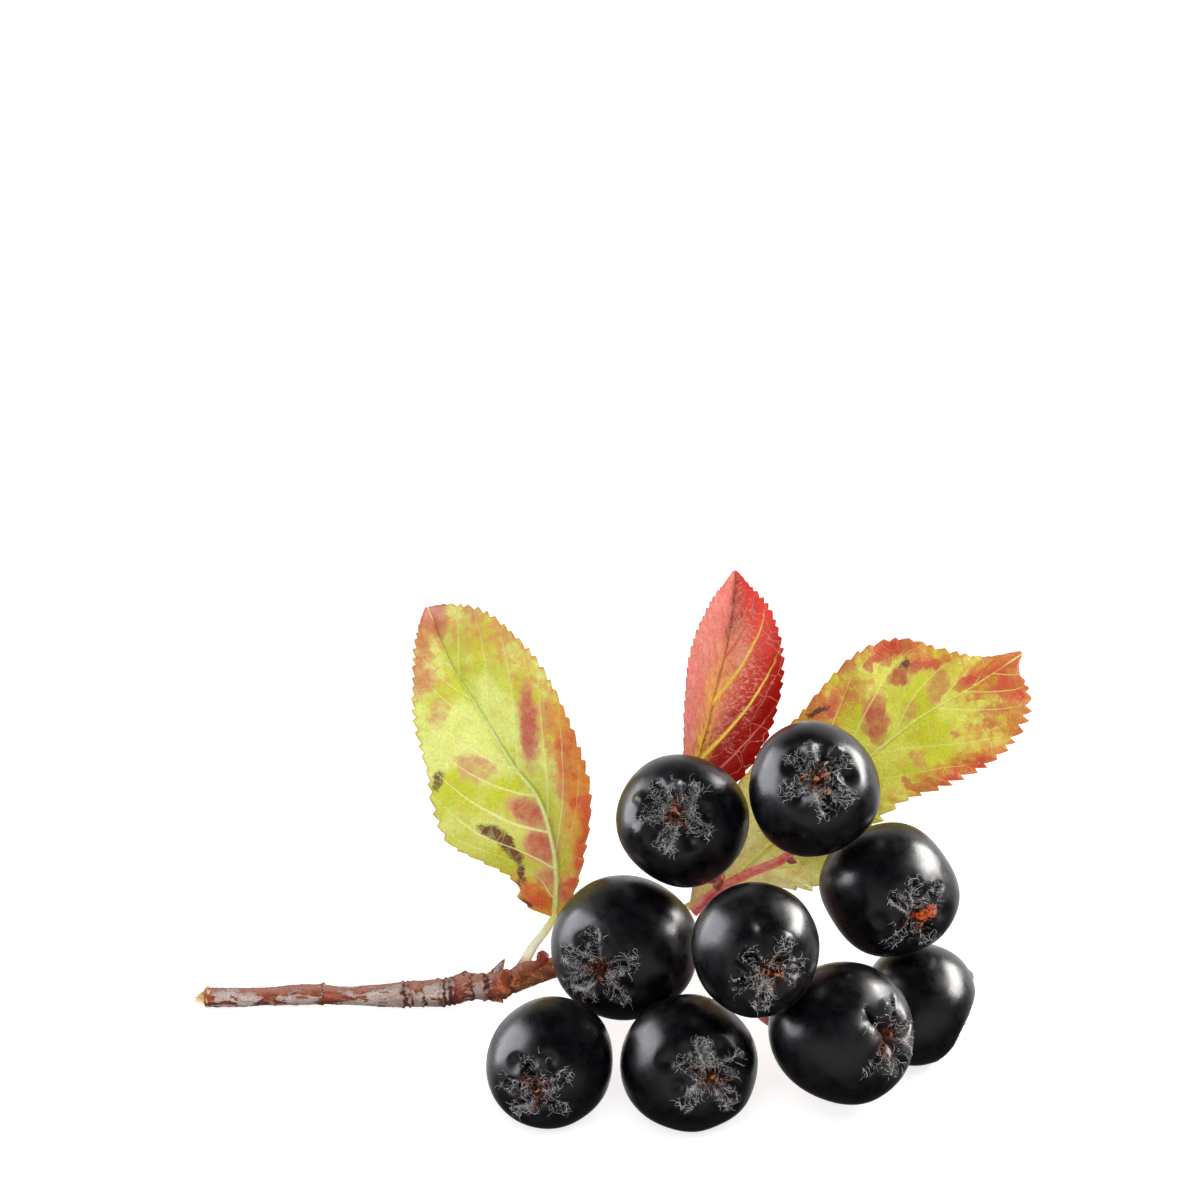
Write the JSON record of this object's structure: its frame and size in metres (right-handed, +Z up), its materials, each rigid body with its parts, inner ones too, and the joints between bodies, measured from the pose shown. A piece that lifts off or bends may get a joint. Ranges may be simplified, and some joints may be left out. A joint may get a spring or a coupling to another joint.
{
  "type": "chokeberry sprig",
  "caption": "Cut sprig of ripe black chokeberries on red stalks with toothed autumn leaves and a piece of woody twig, lying on its side at rest.",
  "frame": {"origin": "on the surface that the sprig rests on, under the middle of its box", "axes": "+Z up from the surface, +X along the sprig from the twig's cut end towards the berries, -Y the side that the berries' calyx ends face"},
  "size_m": [0.0874, 0.0466, 0.042],
  "materials": {
    "berry_skin": "near-black fruit skin with a soft shine and grey woolly hairs in the calyx",
    "bark": "dull red-brown bark under a flaking grey film",
    "red_stalk": "smooth, satin, red to brown green",
    "yellow_green_leaf": "satin leaf with a raised net and red blotches",
    "red_leaf": "satin leaf with yellow veins",
    "yellow_red_leaf": "satin leaf, yellow green with red-brown patches"
  },
  "bodies": {
    "root": {"berry_1": "berry_skin", "berry_2": "berry_skin", "berry_3": "berry_skin", "berry_4": "berry_skin", "berry_5": "berry_skin", "berry_6": "berry_skin", "berry_7": "berry_skin", "berry_8": "berry_skin", "berry_9": "berry_skin", "twig": "bark", "fruit_stalks": "red_stalk", "leaf_left": "yellow_green_leaf", "leaf_middle": "red_leaf", "leaf_right": "yellow_red_leaf"}
  },
  "joints": []
}
